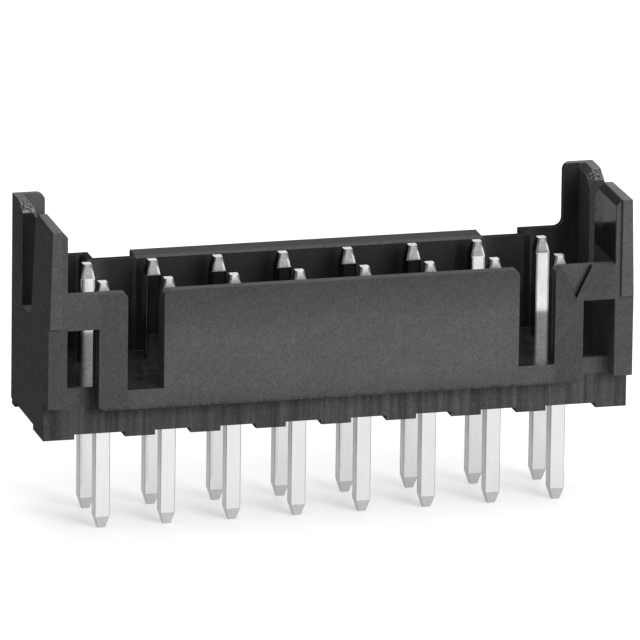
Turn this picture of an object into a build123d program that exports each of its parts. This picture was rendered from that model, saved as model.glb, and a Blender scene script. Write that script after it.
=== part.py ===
from build123d import *
import os

os.makedirs("parts", exist_ok=True)

# Frame: millimetres, +Z is the mating direction, Z = 0 is the board surface under the
# standoff feet, X runs along the rows, -Y is the side with the latch windows, and the
# origin is the centre of the pin field.

# Contact grid
pin_pitch = 2.0
row_pitch = 2.0
pins_per_row = 8

# Contact pin
pin_width = 0.45
pin_edge = 0.02
pin_top = 4.6
pin_tail = 2.97
pin_top_taper = 0.43
pin_top_flat = 0.26
pin_tail_taper = 0.36
pin_tail_flat = 0.24

# Housing envelope, measured from the outermost pins
end_margin = 1.95
front_margin = 1.35
base_front_margin = 0.75
back_margin = 1.42

# Housing levels
seat_gap = 0.15
wall_bottom = 1.0
post_bottom = 1.13
floor_top = 1.6
window_top = 3.52
front_top = 4.6
back_top = 4.53
web_top = 4.5
ear_top = 6.5
post_top = 6.58

# Front wall, widths along X from the ends inwards
front_wall = 0.73
post_width = 0.575
window_width = 0.965
strip_width = 0.87
slot_width = 1.11
corner_radius = 0.2
strip_chamfer_x = 0.2
strip_chamfer_z = 0.1
lead_in_y = 0.4
lead_in_z = 0.3

# End walls
end_wall = 0.45
rim_chamfer_x = 0.17
rim_chamfer_z = 0.2
post_back_top = 0.35
post_back_drop = 0.28
notch_front = 0.02
notch_back = 1.04
notch_floor = 3.4
ear_step_y = 1.5
ear_step_drop = 0.26
ledge_z = 3.57
ledge_front = 0.02
ledge_back = 0.04
lean_front = 0.1
lean_back = 0.16
pad_proud = 0.08
pad_inset = 0.4
pad_bottom = 3.6

# Back wall, widths along X from the ends inwards
back_wall = 0.77
web_thick = 0.2
web_inset = 2.31
groove_width = 1.29
link_thick = 0.2
back_skin = 0.22
ear_width = 0.95
ear_radius = 0.23
ear_fillet = 0.25
back_break_y = 0.12
back_break_z = 0.06

# Standoff feet
foot_width = 0.92
end_foot_width = 0.95
foot_depth = 1.3
back_foot_depth = 0.4
back_foot_inset = 0.12

# Position 1 triangle
mark_inset = 1.77
mark_half = 0.48
mark_height = 0.99
mark_depth = 0.2

# Derived stations
body_half = pin_pitch * (pins_per_row - 1) / 2 + end_margin
front_y = row_pitch / 2 + front_margin
base_front_y = row_pitch / 2 + base_front_margin
back_y = row_pitch / 2 + back_margin
window_outer = body_half - post_width
strip_outer = window_outer - window_width
strip_inner = strip_outer - strip_width
panel_half = strip_inner - slot_width
web_outer = body_half - web_inset
back_panel_half = web_outer - groove_width
ear_inner = body_half - ear_width
mark_x = body_half - mark_inset
inner_front_y = front_y - front_wall
inner_back_y = back_y - back_wall
foot_stations = [pin_pitch * n for n in range(pins_per_row // 2)]
pin_ends = (
    (pin_top - pin_top_taper, pin_top, pin_top_flat),
    (pin_tail_taper - pin_tail, -pin_tail, pin_tail_flat),
)
ear_wall_x = body_half - end_wall
chamfer_runs = (
    (window_outer, front_y, post_top, post_back_top, post_top),
    (window_outer, post_back_top, post_top, -notch_front, post_top - post_back_drop),
    (ear_wall_x, -notch_back, ear_top - ear_step_drop, -ear_step_y, ear_top),
    (ear_wall_x, -ear_step_y, ear_top, back_skin - back_y, ear_top),
)
relief_ends = (
    (ledge_z, ledge_front, ledge_back),
    (post_top, lean_front, lean_back),
)

# Contact pin, standing on the origin axis
with BuildPart() as pin:
    with BuildSketch(Plane.XY.offset(pin_tail_taper - pin_tail)):
        Rectangle(pin_width, pin_width)
        chamfer(vertices(), pin_edge)
    extrude(amount=pin_tail - pin_tail_taper + pin_top - pin_top_taper)
    for shoulder, tip, flat in pin_ends:
        with BuildSketch(Plane.XY.offset(shoulder)):
            Rectangle(pin_width, pin_width)
            chamfer(vertices(), pin_edge)
        with BuildSketch(Plane.XY.offset(tip)):
            Rectangle(flat, flat)
            chamfer(vertices(), pin_edge)
        loft()

# Right-hand half of the housing, from the middle plane to the +X end
with BuildPart() as half:
    # Base block that carries the pins
    with BuildSketch(Plane.XY.offset(seat_gap)):
        with Locations((0, -base_front_y)):
            Rectangle(body_half, base_front_y + back_y, align=(Align.MIN, Align.MIN))
    extrude(amount=floor_top - seat_gap)

    # Front wall with its slot and window
    with BuildSketch(Plane.XZ.offset(front_y)):
        with Locations((0, wall_bottom)):
            Rectangle(window_outer, front_top - wall_bottom, align=(Align.MIN, Align.MIN))
        with Locations((panel_half, floor_top)):
            Rectangle(
                strip_inner - panel_half,
                front_top - floor_top,
                align=(Align.MIN, Align.MIN),
                mode=Mode.SUBTRACT,
            )
        with Locations((strip_outer, wall_bottom)):
            Rectangle(
                window_outer - strip_outer,
                window_top - wall_bottom,
                align=(Align.MIN, Align.MIN),
                mode=Mode.SUBTRACT,
            )
        slot_mouth = vertices().filter_by_position(Axis.X, panel_half, strip_inner)
        fillet(slot_mouth.group_by(Axis.Y)[-1], corner_radius)
        with BuildLine():
            Polyline(
                (strip_outer - strip_chamfer_x, wall_bottom),
                (strip_outer, wall_bottom),
                (strip_outer, wall_bottom + strip_chamfer_z),
                close=True,
            )
        make_face(mode=Mode.SUBTRACT)
    extrude(amount=-front_wall)

    # Lead-in slope along the inner top edge of the front wall
    with BuildSketch(Plane.YZ):
        with BuildLine():
            Polyline(
                (-inner_front_y - lead_in_y, front_top),
                (-inner_front_y, front_top),
                (-inner_front_y, front_top - lead_in_z),
                close=True,
            )
        make_face()
    extrude(amount=window_outer, mode=Mode.SUBTRACT)

    # End wall: low sill, open notch and back ear in one side profile
    with BuildSketch(Plane.YZ.offset(body_half)):
        with BuildLine():
            Polyline(
                (-base_front_y, seat_gap),
                (-base_front_y, notch_floor),
                (notch_back, notch_floor),
                (notch_back, ear_top - ear_step_drop),
                (ear_step_y, ear_top),
                (back_y, ear_top),
                (back_y, seat_gap),
                close=True,
            )
        make_face()
    extrude(amount=-end_wall)

    # Thicker front post, lower at its back corner
    with BuildSketch(Plane.YZ.offset(body_half)):
        with BuildLine():
            Polyline(
                (-front_y, post_bottom),
                (-front_y, post_top),
                (-post_back_top, post_top),
                (notch_front, post_top - post_back_drop),
                (notch_front, post_bottom),
                close=True,
            )
        make_face()
    extrude(amount=-post_width)

    # Chamfer along the inner top edges of the post and ear, following their slopes
    for inner_x, run_start, start_top, run_end, end_top in chamfer_runs:
        for station, top in ((run_start, start_top), (run_end, end_top)):
            with BuildSketch(Plane.XZ.offset(station)):
                with BuildLine():
                    Polyline(
                        (inner_x, top),
                        (inner_x + rim_chamfer_x, top),
                        (inner_x, top - rim_chamfer_z),
                        close=True,
                    )
                make_face()
        loft(mode=Mode.SUBTRACT)

    # Raised pad on the front of the post
    with BuildSketch(Plane.XZ.offset(front_y)):
        with Locations((body_half, pad_bottom)):
            Rectangle(pad_inset, post_top - pad_bottom, align=(Align.MAX, Align.MIN))
    extrude(amount=pad_proud)

    # Upper half of the post and pad leaning inwards from a low ledge
    for level, front_relief, back_relief in relief_ends:
        with BuildSketch(Plane.XY.offset(level)):
            with BuildLine():
                Polyline(
                    (body_half, -front_y - pad_proud),
                    (body_half, notch_front),
                    (body_half - back_relief, notch_front),
                    (body_half - front_relief, -front_y - pad_proud),
                    close=True,
                )
            make_face()
    loft(mode=Mode.SUBTRACT)

    # Back skin with the tall ear plate
    with BuildSketch(Plane.XZ.offset(-back_y)):
        with BuildLine():
            Polyline(
                (0, seat_gap),
                (body_half, seat_gap),
                (body_half, ear_top),
                (ear_inner, ear_top),
                (ear_inner, back_top),
                (0, back_top),
                close=True,
            )
        make_face()
        fillet(vertices().filter_by_position(Axis.X, ear_inner, ear_inner).sort_by(Axis.Y)[-1], ear_radius)
        fillet(vertices().filter_by_position(Axis.X, ear_inner, ear_inner).sort_by(Axis.Y)[0], ear_fillet)
    extrude(amount=back_skin)

    # Grooves in the outside of the back skin, opposite the front slots
    with BuildSketch(Plane.XY.offset(floor_top)):
        with Locations((back_panel_half, back_y)):
            Rectangle(web_outer - back_panel_half, back_skin, align=(Align.MIN, Align.MAX))
    extrude(amount=back_top - floor_top, mode=Mode.SUBTRACT)

    # Thick middle panel of the back wall with an eased inner top edge
    with BuildSketch(Plane.YZ):
        with BuildLine():
            Polyline(
                (inner_back_y, floor_top),
                (inner_back_y, back_top - back_break_z),
                (inner_back_y + back_break_y, back_top),
                (back_y, back_top),
                (back_y, floor_top),
                close=True,
            )
        make_face()
    extrude(amount=back_panel_half)

    # Thin web closing the groove on the cavity side
    with BuildSketch(Plane.XY.offset(floor_top)):
        with Locations((back_panel_half, inner_back_y)):
            Rectangle(web_outer - back_panel_half, web_thick, align=(Align.MIN, Align.MIN))
    extrude(amount=web_top - floor_top)

    # Link between the web and the back skin
    with BuildSketch(Plane.XY.offset(floor_top)):
        with Locations((web_outer, inner_back_y)):
            Rectangle(link_thick, back_wall, align=(Align.MIN, Align.MIN))
    extrude(amount=back_top - floor_top)

    # Standoff feet: a wide row under the front, a narrow row under the back
    with BuildSketch(Plane.XY):
        for station in foot_stations:
            with Locations((station, -base_front_y)):
                Rectangle(foot_width, foot_depth, align=(Align.CENTER, Align.MIN))
            with Locations((station, back_y - back_foot_inset)):
                Rectangle(foot_width, back_foot_depth, align=(Align.CENTER, Align.MAX))
        with Locations((body_half, -base_front_y)):
            Rectangle(end_foot_width, foot_depth, align=(Align.MAX, Align.MIN))
        with Locations((body_half, back_y - back_foot_inset)):
            Rectangle(end_foot_width, back_foot_depth, align=(Align.MAX, Align.MAX))
        with Locations((0, 0)):
            Rectangle(
                foot_width,
                2 * (front_y + back_y),
                align=(Align.MAX, Align.CENTER),
                mode=Mode.SUBTRACT,
            )
    extrude(amount=seat_gap)

# Whole housing: both halves, the position 1 triangle and the pin holes
with BuildPart() as housing:
    add(half.part)
    mirror(about=Plane.YZ)
    with BuildSketch(Plane.XZ.offset(front_y)):
        with BuildLine():
            Polyline(
                (mark_x - mark_half, front_top),
                (mark_x + mark_half, front_top),
                (mark_x, front_top - mark_height),
                close=True,
            )
        make_face()
    extrude(amount=-mark_depth, mode=Mode.SUBTRACT)
    with BuildSketch(Plane.XY):
        with GridLocations(pin_pitch, row_pitch, pins_per_row, 2):
            Rectangle(pin_width, pin_width)
    extrude(amount=floor_top, mode=Mode.SUBTRACT)

housing.part.label = "housing"
export_step(housing.part, "parts/housing.step")

# Sixteen pins, numbered from the triangle towards -X
for row_name, row_side in (("front", -1), ("back", 1)):
    for number in range(1, pins_per_row + 1):
        pin_x = pin_pitch * ((pins_per_row + 1) / 2 - number)
        with BuildPart() as placed_pin:
            with Locations((pin_x, row_side * row_pitch / 2, 0)):
                add(pin.part)
        placed_pin.part.label = f"{row_name}_pin_{number}"
        export_step(placed_pin.part, f"parts/{row_name}_pin_{number}.step")
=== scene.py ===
import math

import bpy
from mathutils import Matrix, Vector
from mathutils.noise import noise as perlin


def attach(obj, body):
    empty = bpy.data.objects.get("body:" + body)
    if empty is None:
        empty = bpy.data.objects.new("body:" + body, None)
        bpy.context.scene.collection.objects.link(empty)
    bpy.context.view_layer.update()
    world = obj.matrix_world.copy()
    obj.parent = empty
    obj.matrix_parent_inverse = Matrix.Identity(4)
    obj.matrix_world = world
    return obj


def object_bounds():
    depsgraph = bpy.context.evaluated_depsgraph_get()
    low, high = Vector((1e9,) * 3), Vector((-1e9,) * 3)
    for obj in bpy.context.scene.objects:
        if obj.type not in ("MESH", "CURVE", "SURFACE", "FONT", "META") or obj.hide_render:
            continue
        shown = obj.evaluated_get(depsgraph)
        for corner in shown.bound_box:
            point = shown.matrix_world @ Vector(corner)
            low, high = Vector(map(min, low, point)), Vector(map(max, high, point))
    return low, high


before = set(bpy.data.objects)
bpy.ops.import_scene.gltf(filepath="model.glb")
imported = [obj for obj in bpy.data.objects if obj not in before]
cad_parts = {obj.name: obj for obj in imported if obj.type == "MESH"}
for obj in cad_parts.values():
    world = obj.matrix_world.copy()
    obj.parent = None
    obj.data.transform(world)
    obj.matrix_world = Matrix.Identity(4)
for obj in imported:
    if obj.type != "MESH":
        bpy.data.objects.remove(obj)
cad_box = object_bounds()
MM = 0.001

# Lengths in the shaders and in the torn skins are millimetres in the part's own frame.
# "side" is the distance from the part's middle, along X.
END_INNER = 8.5          # inner face of the end walls, side
EAR_FRONT = 1.04         # front of the back ears, Y
EAR_SLOPE_FOOT = 6.24    # lowest point of the ears' front slope, Z
EAR_SLOPE_RISE = 0.565   # climb of that slope per millimetre along Y
CHAMFER_DROP = 0.2       # inner chamfer on top of the ears, down and across
CHAMFER_WIDTH = 0.17
OUTER_FRONT = -2.25      # fronts beyond this Y belong to the outside of the front wall
PIN_PITCH = 2.0
PIN_HALF = 0.225
TIP_FOOT = 4.17          # foot of the pins' upper taper, Z
TIP_SLOPE = 0.221        # narrowing of that taper per millimetre of height, on each side


# Node helpers
def new_material(name):
    material = bpy.data.materials.new(name)
    material.use_nodes = True
    tree = material.node_tree
    return material, tree, tree.nodes["Principled BSDF"]


def set_input(tree, node, key, value):
    socket = node.inputs[key]
    if isinstance(value, bpy.types.NodeSocket):
        tree.links.new(value, socket)
    else:
        socket.default_value = value


def add_node(tree, kind, **inputs):
    node = tree.nodes.new(kind)
    for key, value in inputs.items():
        set_input(tree, node, key.replace("_", " "), value)
    return node


def maths(tree, operation, *values):
    node = tree.nodes.new("ShaderNodeMath")
    node.operation = operation
    for index, value in enumerate(values):
        set_input(tree, node, index, value)
    return node.outputs[0]


def chain(tree, operation, values):
    result = values[0]
    for value in values[1:]:
        result = maths(tree, operation, result, value)
    return result


def product(tree, *values):
    return chain(tree, "MULTIPLY", values)


def either(tree, *values):
    return chain(tree, "MAXIMUM", values)


def inverse(tree, mask):
    return maths(tree, "SUBTRACT", 1.0, mask)


def ramp(tree, value, start, end, low=0.0, high=1.0):
    """low at start and high at end, eased in between."""
    node = tree.nodes.new("ShaderNodeMapRange")
    node.interpolation_type = "SMOOTHSTEP"
    for index, item in enumerate((value, start, end, low, high)):
        set_input(tree, node, index, item)
    return node.outputs[0]


def above(tree, value, edge, soft=0.02):
    return ramp(tree, value, edge - soft, edge + soft)


def below(tree, value, edge, soft=0.02):
    return ramp(tree, value, edge + soft, edge - soft)


def between(tree, value, low, high, soft=0.02):
    return product(tree, above(tree, value, low, soft), below(tree, value, high, soft))


def mix(tree, factor, first, second):
    """first where factor is 0, second where it is 1."""
    node = tree.nodes.new("ShaderNodeMix")
    set_input(tree, node, 0, factor)
    set_input(tree, node, 2, first)
    set_input(tree, node, 3, second)
    return node.outputs[0]


def tint(tree, tone, *finishes):
    """tone times each factor where its mask is 1, and unchanged where the mask is 0."""
    return product(tree, tone, *(mix(tree, mask, 1.0, factor) for mask, factor in finishes))


def place(tree):
    """Position in millimetres as a vector and split by axis, and the true normal split by axis."""
    coords = tree.nodes.new("ShaderNodeTexCoord")
    scaled = tree.nodes.new("ShaderNodeVectorMath")
    scaled.operation = "SCALE"
    tree.links.new(coords.outputs["Object"], scaled.inputs[0])
    scaled.inputs["Scale"].default_value = 1 / MM
    at, facing = (tree.nodes.new("ShaderNodeSeparateXYZ") for _ in range(2))
    tree.links.new(scaled.outputs[0], at.inputs[0])
    tree.links.new(tree.nodes.new("ShaderNodeNewGeometry").outputs["True Normal"], facing.inputs[0])
    return scaled.outputs[0], at.outputs, facing.outputs


def noise(tree, vector, density, scale, detail=3.0, roughness=0.55, lean=0):
    """Noise between 0 and 1, with its density given per axis, turned about Y by lean degrees."""
    mapping = tree.nodes.new("ShaderNodeMapping")
    mapping.vector_type = "TEXTURE"
    tree.links.new(vector, mapping.inputs["Vector"])
    mapping.inputs["Scale"].default_value = [1 / axis for axis in density]
    mapping.inputs["Rotation"].default_value = (0, math.radians(lean), 0)
    texture = add_node(tree, "ShaderNodeTexNoise", Scale=scale, Detail=detail, Roughness=roughness)
    tree.links.new(mapping.outputs[0], texture.inputs["Vector"])
    return texture.outputs["Fac"]


def vary(tree, value, amount):
    """1 plus or minus amount, from a noise value that centres on one half."""
    return maths(tree, "MULTIPLY_ADD", value, 2 * amount, 1 - amount)


def grey(tree, value):
    node = tree.nodes.new("ShaderNodeCombineColor")
    for index in range(3):
        set_input(tree, node, index, value)
    return node.outputs[0]


def surface_normal(tree, shader, edge_radius, **bump_inputs):
    """Edges eased over edge_radius millimetres, under a fine bump."""
    rounding = add_node(tree, "ShaderNodeBevel", Radius=edge_radius * MM)
    rounding.samples = 6
    bump = add_node(tree, "ShaderNodeBump", Normal=rounding.outputs[0], **bump_inputs)
    set_input(tree, shader, "Normal", bump.outputs[0])


# Black moulding compound: spark-textured outside, smooth inside the cavity, where its darker colour is
# partly that smooth finish and partly painted shade
def housing_material():
    material, tree, shader = new_material("black_moulding")
    spot, at, facing = place(tree)
    x, y, z = at["X"], at["Y"], at["Z"]
    side = maths(tree, "ABSOLUTE", x)
    right_half = above(tree, x, 0.0, 1.0)

    # Which way a face looks
    fronts = below(tree, facing["Y"], -0.55, 0.05)
    backs = above(tree, facing["Y"], 0.55, 0.05)
    across = above(tree, maths(tree, "ABSOLUTE", facing["X"]), 0.55, 0.05)
    tops = above(tree, facing["Z"], 0.55, 0.05)
    chamfers = product(tree, above(tree, facing["Z"], 0.35, 0.05),
                       below(tree, facing["Z"], 0.825, 0.025))
    flanks = product(tree, across, below(tree, facing["Z"], 0.35, 0.05))

    # Small side faces of the outside: back links, ends of the back grooves, and the triangle's walls;
    # their darkening is painted shade
    link_sides = product(tree, between(tree, side, 6.6, 6.88), above(tree, y, 1.62))
    groove_ends = product(tree, between(tree, side, 5.3, 5.4), above(tree, y, 1.845, 0.015))
    mark = product(tree, between(tree, x, 6.62, 7.74), between(tree, y, -2.34, -2.13),
                   above(tree, z, 3.54, 0.04), below(tree, z, 4.58, 0.01))
    mark_walls_shade = product(tree, mark, below(tree, maths(tree, "ABSOLUTE", facing["Y"]), 0.3, 0.1))
    # Painted shadow line along the left edge of the sunk triangle
    past_left_line = maths(tree, "MULTIPLY_ADD", maths(tree, "SUBTRACT", 4.6, z), -0.485,
                           maths(tree, "SUBTRACT", x, 6.7))
    mark_left_shadow_line = product(tree, mark, fronts, below(tree, past_left_line, 0.045, 0.025))
    shaded_small_sides = product(tree, across, either(tree, link_sides, groove_ends, mark))

    # Cavity
    inner_front = product(tree, fronts, above(tree, y, 0.5, 0.1), below(tree, side, END_INNER),
                          above(tree, z, 1.56, 0.06))
    inner_side = product(tree, across, below(tree, side, 8.52, 0.01), between(tree, y, -2.3, 2.22),
                         above(tree, z, 1.05, 0.05), inverse(tree, shaded_small_sides))
    inner_back = product(tree, backs, below(tree, y, 0.5, 0.1), below(tree, side, 8.38))
    cavity_floor = product(tree, tops, between(tree, z, 1.5, 1.7), below(tree, side, 8.55, 0.05))
    inside = either(tree, inner_front, inner_side, inner_back, cavity_floor)
    post_inner = product(tree, inner_side, above(tree, z, 4.6, 0.1), below(tree, y, 0.05, 0.01))
    post_worn = product(tree, post_inner, above(tree, y, -0.91, 0.04))
    # Painted light: the inner face of the left ear above the walls is lighter than the right ear's
    lit_left_ear = product(tree, inner_front, below(tree, x, -7.8, 0.2), above(tree, z, 4.8, 0.4))
    # Painted shade and highlight on the windows' side faces: darker on the left half, with a painted
    # highlight line along their middle
    reveals = product(tree, across, between(tree, y, -2.38, -1.62), between(tree, side, 6.0, 8.0, 0.05),
                      below(tree, z, 4.25, 0.05), inverse(tree, shaded_small_sides))
    reveal_highlight_line = product(tree, between(tree, y, -2.1, -1.97, 0.04), above(tree, z, 1.9, 0.3))

    # Posts and ears
    # Painted shade: the ears' front faces inside the notches behind the posts are darkened, on the right
    # half more
    shaded_notch_face = product(tree, fronts, between(tree, y, 0.9, 1.2), above(tree, side, 8.44, 0.04),
                         below(tree, z, EAR_SLOPE_FOOT))
    # Painted light: the flat tops of the posts and ears are brightened, those on the right half more
    lit_high_tops = product(tree, above(tree, facing["Z"], 0.85, 0.05), above(tree, z, 6.05, 0.05))
    # Painted shade on the chamfers along the tops of the posts and ears
    shaded_post_chamfer = product(tree, chamfers, above(tree, z, 6.06, 0.01), between(tree, side, 8.35, 8.56),
                           below(tree, y, 0.45, 0.05))
    shaded_ear_chamfer = product(tree, chamfers, above(tree, z, 6.265, 0.015), above(tree, y, 1.475, 0.025))
    ear_slope = product(tree, above(tree, z, 6.21, 0.01), between(tree, y, 1.0, 1.52),
                        above(tree, side, 8.45, 0.03), above(tree, facing["Z"], 0.15, 0.05))
    # Painted shade on the side faces at the back of the ears, above the back wall
    shaded_ear_edge = product(tree, across, between(tree, side, 7.71, 8.29, 0.01), above(tree, z, 4.51, 0.01),
                       above(tree, y, 2.125, 0.025))
    pad = product(tree, fronts, below(tree, y, -2.395, 0.015))
    low_post = product(tree, fronts, above(tree, side, 8.365, 0.015), below(tree, z, 3.6))

    # Walls and base
    outer_front = product(tree, fronts, below(tree, y, OUTER_FRONT, 0.05))
    panel = product(tree, outer_front, below(tree, side, 5.43, 0.03))
    # Painted sheen: a brighter band across the middle of the front panel, where a bowed panel would
    # catch the light
    sheen_band = product(tree, below(tree, z, 3.75, 0.85), above(tree, z, 1.2, 0.6))
    right_strip = product(tree, outer_front, between(tree, x, 6.5, 8.37, 0.1))
    left_strip = product(tree, outer_front, between(tree, x, -7.41, -6.5, 0.1))
    base_front = product(tree, fronts, below(tree, z, 1.08, 0.04), below(tree, y, -1.3, 0.1))
    # Painted shade on the front edge of the window sills
    shaded_sill_edge = product(tree, fronts, between(tree, z, 1.56, 1.64, 0.03), between(tree, side, 7.38, 8.4))
    # Painted shade: the tops of the front and back walls are darkened, the back wall's more
    shaded_rims = product(tree, tops, between(tree, z, 4.25, 4.95, 0.05))
    back_wall = above(tree, y, 1.5, 0.1)
    # Painted shade on the thin tops of the back wall beside the links
    shaded_thin_rims = product(tree, tops, back_wall, between(tree, z, 4.3, 4.7), above(tree, side, 5.4))
    # Painted highlight on the inner chamfer along the back wall's top
    back_break_highlight = product(tree, tops, back_wall, below(tree, facing["Y"], -0.35, 0.05))

    # Patterns
    grain = noise(tree, spot, (1, 1, 1), 15.0, 2.0, 0.7)
    side_grain = noise(tree, spot, (1, 0.5, 1), 14.0, 2.0, 0.7)
    mottle = noise(tree, spot, (1, 0.6, 1), 5.0, 2.0, 0.6)
    cloud = noise(tree, spot, (1, 1, 1.6), 0.8)
    streak = noise(tree, spot, (6.0, 6.0, 0.25), 1.0, 3.0, 0.6)
    scuff = noise(tree, spot, (1.2, 1.2, 9.0), 1.0, 3.0, 0.6, lean=-35)
    scratch = noise(tree, spot, (0.8, 1, 14.0), 1.0, 3.0, 0.6, lean=-50)

    # Outside
    tone = product(tree, vary(tree, grain, 0.5), vary(tree, mottle, 0.16), vary(tree, cloud, 0.12),
                   vary(tree, scuff, 0.08), mix(tree, right_strip, 1.0, vary(tree, scratch, 0.3)))
    tone = tint(
        tree, tone,
        (base_front, product(tree, vary(tree, streak, 0.9), 0.8)),
        (panel, maths(tree, "MULTIPLY_ADD", sheen_band, 0.35, 0.79)),
        (shaded_rims, mix(tree, above(tree, y, -1.2, 0.2), 0.9, 0.6)),
        (back_break_highlight, 1.5),
        (shaded_thin_rims, 0.2),
        (lit_high_tops, mix(tree, right_half, 1.35, 1.7)),
        (shaded_ear_chamfer, 0.8),
        # Painted light and shade on the side faces: lighter on the left half, a little darker on the
        # right half
        (flanks, product(tree, vary(tree, side_grain, 0.5), mix(tree, right_half, 1.5, 0.95))),
        (low_post, 0.87),
        (ear_slope, product(tree, ramp(tree, grain, 0.38, 0.64, 0.5, 2.1),
                            ramp(tree, z, 6.27, 6.34, 1.4, 0.95))),
        (pad, 1.1),
        (right_strip, 0.78),
        (left_strip, 0.88),
        (shaded_notch_face, mix(tree, right_half, 0.2, 0.5)),
        (shaded_small_sides, 0.6),
        (mark_walls_shade, 0.3),
        (mark_left_shadow_line, 0.5),
        (shaded_post_chamfer, 0.6),
        (shaded_sill_edge, 0.65),
        (shaded_ear_edge, 0.35),
    )
    outside_colour = product(tree, tone, 0.084)
    outside_rough = product(tree, vary(tree, grain, 0.12), mix(tree, flanks, 0.62, 0.95))

    # Inside
    wall_tone = mix(tree, lit_left_ear, ramp(tree, y, 1.9, 2.0, 0.06, 0.055), 0.1)
    inside_colour = tint(
        tree, product(tree, vary(tree, grain, 0.4), mix(tree, inner_side, wall_tone, 0.13)),
        (cavity_floor, ramp(tree, mottle, 0.3, 0.7, 1.2, 2.5)),
        (reveals, mix(tree, right_half, mix(tree, reveal_highlight_line, 1.0, 2.2),
                      mix(tree, reveal_highlight_line, 0.6, 1.6))),
    )
    inside_colour = mix(tree, post_inner, inside_colour, 0.024)
    inside_rough = mix(tree, post_worn, product(tree, vary(tree, cloud, 0.5), 0.13),
                       ramp(tree, grain, 0.35, 0.65, 0.12, 0.34))
    polish = mix(tree, cavity_floor, mix(tree, inner_side, 0.5, 0.42), 0.77)

    set_input(tree, shader, "Base Color", grey(tree, mix(tree, inside, outside_colour, inside_colour)))
    set_input(tree, shader, "Metallic", product(tree, inside, inverse(tree, post_inner), polish))
    set_input(tree, shader, "Roughness", mix(tree, inside, outside_rough, inside_rough))
    set_input(tree, shader, "IOR", 1.5)
    set_input(tree, shader, "Specular IOR Level", 0.03)
    surface_normal(tree, shader, 0.03, Distance=0.012 * MM, Height=grain,
                   Strength=mix(tree, inside, 0.6, 0.03))
    return material


# Tin plate: rolled faces front and back; sheared faces left and right darker, partly a duller finish and
# partly painted shade
def pin_material():
    material, tree, shader = new_material("tin_plate")
    spot, at, facing = place(tree)
    x, y, z = at["X"], at["Y"], at["Z"]

    pull = noise(tree, spot, (9, 9, 0.5), 1.0, 4.0, 0.6)
    blotch = noise(tree, spot, (1, 1, 0.6), 3.0)
    coined = noise(tree, spot, (1, 1, 1), 12.0, 2.0, 0.6)

    # Zones along the pin
    sheared = ramp(tree, maths(tree, "ABSOLUTE", facing["X"]), 0.55, 0.75)
    rolled = ramp(tree, sheared, 0.9, 0.5)
    # Painted shade on the tails' lower tapers, which face the shadowed floor
    tail_tip_shade = below(tree, z, -2.61, 0.01)
    back_tail = product(tree, below(tree, z, 0.1, 0.1), above(tree, y, 0.55, 0.05))
    shaft = between(tree, z, 1.6, 4.15)
    tips = above(tree, z, 4.18)
    front_tips = product(tree, tips, below(tree, y, -0.55, 0.05))
    slanted = below(tree, facing["Z"], 0.75, 0.05)
    back_taper = product(tree, slanted, above(tree, z, TIP_FOOT, 0.01), above(tree, y, 0.55, 0.05))
    taper = product(tree, slanted, tips, rolled)

    # Place across the face: -1 at the left edge, 1 at the right edge, also where the tip narrows
    climb = maths(tree, "MAXIMUM", maths(tree, "SUBTRACT", z, TIP_FOOT), 0.0)
    half = maths(tree, "MULTIPLY_ADD", climb, -TIP_SLOPE, PIN_HALF)
    in_pitch = maths(tree, "FLOORED_MODULO", x, PIN_PITCH)
    offset = maths(tree, "DIVIDE", maths(tree, "SUBTRACT", in_pitch, PIN_PITCH / 2), half)
    off_centre = maths(tree, "ABSOLUTE", offset)
    # Painted shade: darker margins along the shafts' faces, and a darker left edge and neck on the
    # tapers; a painted highlight stays on the back tapers' right edge
    shaded_margins = product(tree, shaft, rolled, ramp(tree, off_centre, 0.58, 0.8))
    shaded_left_edge = product(tree, taper, ramp(tree, offset, -0.55, -0.75))
    highlit_right_edge = product(tree, taper, ramp(tree, offset, 0.55, 0.7))
    neck_edge = ramp(tree, z, 4.3, 4.54, 0.95, 0.45)
    shaded_neck = product(tree, taper, ramp(tree, maths(tree, "SUBTRACT", off_centre, neck_edge), -0.05, 0.2))

    rolled_tone = product(tree, vary(tree, pull, 0.06), vary(tree, blotch, 0.05), 0.9)
    # Sheared faces: partly their duller finish, partly painted shade that deepens up the tails towards
    # the housing
    sheared_finish_and_shade = product(tree, vary(tree, pull, 0.12), vary(tree, blotch, 0.35),
                           ramp(tree, z, -2.4, 0.2, 1.0, 0.45), 0.4)
    tone = tint(
        tree, mix(tree, sheared, rolled_tone, sheared_finish_and_shade),
        (back_tail, 0.92),
        (tail_tip_shade, 0.7),
        (back_taper, mix(tree, highlit_right_edge, 0.45, 0.85)),
        (shaded_margins, 0.4),
        (shaded_left_edge, 0.45),
        (shaded_neck, 0.35),
        (shaft, product(tree, vary(tree, blotch, 0.3), 0.94)),
        (tips, vary(tree, coined, 0.35)),
    )
    set_input(tree, shader, "Base Color", grey(tree, tone))
    set_input(tree, shader, "Metallic", 1.0)
    roughness = product(tree, vary(tree, blotch, 0.3), mix(tree, front_tips, 0.11, 0.3))
    set_input(tree, shader, "Roughness", roughness)
    surface_normal(tree, shader, 0.012, Distance=0.004 * MM, Height=pull, Strength=0.3)
    return material


black = housing_material()
tin = pin_material()
for name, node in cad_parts.items():
    for material_slot in node.material_slots:
        material_slot.material = black if name == "housing" else tin


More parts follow.
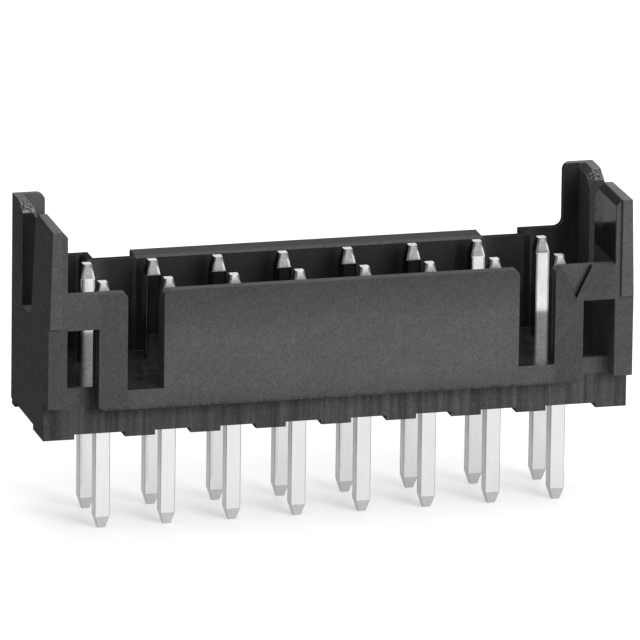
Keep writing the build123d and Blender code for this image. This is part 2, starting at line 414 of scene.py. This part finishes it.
# Rough break on the front slope of each ear: a torn skin of the moulding, sunk into the slope
def torn_skin(name, end):
    inner, outer, front, rear = 8.52, 8.93, 1.045, 1.5
    steps = 26
    sunk, burial, proud, fade = 0.006, 0.04, 0.055, 7
    points, faces = [], []
    for lifted in (True, False):    # the rough top first, then the flat underside
        for row in range(steps + 1):
            for column in range(steps + 1):
                across, along = column / steps, row / steps
                x, y = inner + (outer - inner) * across, front + (rear - front) * along
                slope = EAR_SLOPE_FOOT + EAR_SLOPE_RISE * (y - EAR_FRONT)
                chamfer = slope - CHAMFER_DROP + (x - END_INNER) * CHAMFER_DROP / CHAMFER_WIDTH
                rim = min(1.0, fade * min(across, 1 - across, along + 0.1, 1 - along))
                coarse, fine = (perlin(Vector((scale * x, scale * y, end))) for scale in (9, 22))
                lift = rim * proud * max(0.0, 0.5 + coarse + 0.6 * fine) - sunk
                height = min(slope, chamfer) + (lift if lifted else -burial)
                points.append(Vector((end * x, y, height)) * MM)
    size = steps + 1
    under = size * size
    for row in range(steps):
        for column in range(steps):
            corner = row * size + column
            quad = (corner, corner + 1, corner + size + 1, corner + size)
            faces.append(list(quad))
            faces.append([under + v for v in reversed(quad)])
    ring = list(range(size)) + [row * size + steps for row in range(1, size)]
    ring += [steps * size + column for column in range(steps - 1, -1, -1)]
    ring += [row * size for row in range(steps - 1, 0, -1)]
    for a, b in zip(ring, ring[1:] + ring[:1]):
        faces.append([under + a, under + b, b, a])
    mesh = bpy.data.meshes.new(name)
    mesh.from_pydata(points, [], faces if end > 0 else [list(reversed(face)) for face in faces])
    mesh.materials.append(black)
    piece = bpy.data.objects.new(name, mesh)
    bpy.context.collection.objects.link(piece)
    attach(piece, "root")


torn_skin("torn_skin_right", 1)
torn_skin("torn_skin_left", -1)


# Floor under the pin tips and world: white to the camera, darker towards the back left in reflections
def ray_masks(tree):
    """1 for rays that show the piece itself, and 1 for rays that mirror it."""
    path = tree.nodes.new("ShaderNodeLightPath")
    seen = either(tree, path.outputs["Is Camera Ray"], path.outputs["Is Transmission Ray"])
    return seen, path.outputs["Is Glossy Ray"]


def darker_behind(tree, ahead, aside, level):
    """1 everywhere except towards the back left, where it falls to level."""
    return maths(tree, "MULTIPLY_ADD", product(tree, ahead, aside), level - 1.0, 1.0)


def floor_material():
    material, tree, shader = new_material("pale_floor")
    at = place(tree)[1]
    seen, glossy = ray_masks(tree)
    behind = darker_behind(tree, ramp(tree, at["Y"], 0.0, 12.0), ramp(tree, at["X"], 4.0, -8.0), 0.9)
    mirrored = product(tree, behind, ramp(tree, at["X"], -8.0, 8.0, 0.95, 0.87))
    bounce = mix(tree, ramp(tree, at["X"], 2.0, -14.0), 0.6, 0.04)
    tone = mix(tree, glossy, bounce, product(tree, mirrored, 0.35))
    glow = product(tree, glossy, mirrored, 0.65)
    set_input(tree, shader, "Base Color", grey(tree, mix(tree, seen, tone, 0.6)))
    set_input(tree, shader, "Roughness", 0.9)
    set_input(tree, shader, "Specular IOR Level", 0.0)
    set_input(tree, shader, "Emission Color", (1, 1, 1, 1))
    set_input(tree, shader, "Emission Strength", mix(tree, seen, glow, 0.52))
    return material


def studio_world():
    world = bpy.data.worlds.new("studio")
    world.use_nodes = True
    tree = world.node_tree
    tree.nodes.clear()
    compass = tree.nodes.new("ShaderNodeSeparateXYZ")
    tree.links.new(tree.nodes.new("ShaderNodeTexCoord").outputs["Generated"], compass.inputs[0])
    ahead, aside = compass.outputs["Y"], compass.outputs["X"]
    seen, glossy = ray_masks(tree)
    mirrored = darker_behind(tree, ramp(tree, ahead, -0.1, 0.6), ramp(tree, aside, 0.5, -0.2), 0.3)
    fill = maths(tree, "MULTIPLY_ADD", aside, 0.24, 0.5)
    strength = mix(tree, seen, mix(tree, glossy, fill, mirrored), 1.0)
    background = add_node(tree, "ShaderNodeBackground", Color=(1, 1, 1, 1), Strength=strength)
    output = tree.nodes.new("ShaderNodeOutputWorld")
    tree.links.new(background.outputs[0], output.inputs["Surface"])
    return world


def softbox(name, position, size, power, glossy=True):
    data = bpy.data.lights.new(name, "AREA")
    data.shape = "RECTANGLE"
    data.size, data.size_y = size
    data.energy = power
    lamp = bpy.data.objects.new(name, data)
    bpy.context.collection.objects.link(lamp)
    lamp.location = position
    lamp.rotation_mode = "QUATERNION"
    lamp.rotation_quaternion = (-Vector(position)).to_track_quat("-Z", "Y")
    lamp.visible_glossy = glossy


FLOOR_SIZE = 6
FLOOR_GAP = 0.02 * MM
bpy.ops.mesh.primitive_plane_add(size=FLOOR_SIZE, location=(0, 0, cad_box[0].z - FLOOR_GAP))
floor = bpy.context.object
floor.name = "floor"
floor.data.materials.append(floor_material())
bpy.context.scene.world = studio_world()
softbox("overhead", position=(0.05, -0.02, 0.5), size=(0.5, 0.4), power=1.0)
softbox("front_right", position=(0.25, -0.45, 0.2), size=(0.3, 0.3), power=2.2, glossy=False)
softbox("back_fill", position=(0.1, 0.45, 0.25), size=(0.3, 0.3), power=0.7, glossy=False)

# Camera, solved from the perspective of the pins and the housing's edges in the photograph
azimuth, elevation, roll = (math.radians(degrees) for degrees in (-14.67, 16.18, 0.765))
TARGET = Vector((-0.078, 0, 2.71)) * MM
DISTANCE_MM = 374.8
PIXELS_PER_MM = 33.56
PHOTO_WIDTH = 640
SENSOR_WIDTH = 36
back = Vector((math.sin(azimuth) * math.cos(elevation), -math.cos(azimuth) * math.cos(elevation),
               math.sin(elevation)))
level = Vector((math.cos(azimuth), math.sin(azimuth), 0))
upright = back.cross(level)
right = math.cos(roll) * level + math.sin(roll) * upright
up = math.cos(roll) * upright - math.sin(roll) * level
turn = Matrix((right, up, back)).transposed().to_4x4()
camera = bpy.data.objects.new("camera", bpy.data.cameras.new("camera"))
bpy.context.collection.objects.link(camera)
camera.matrix_world = Matrix.Translation(TARGET + DISTANCE_MM * MM * back) @ turn
camera.data.sensor_width = SENSOR_WIDTH
camera.data.lens = SENSOR_WIDTH * PIXELS_PER_MM * DISTANCE_MM / PHOTO_WIDTH
camera.data.clip_start = 0.01
camera.data.clip_end = 20
bpy.context.scene.camera = camera
bpy.context.scene.view_settings.view_transform = "Standard"
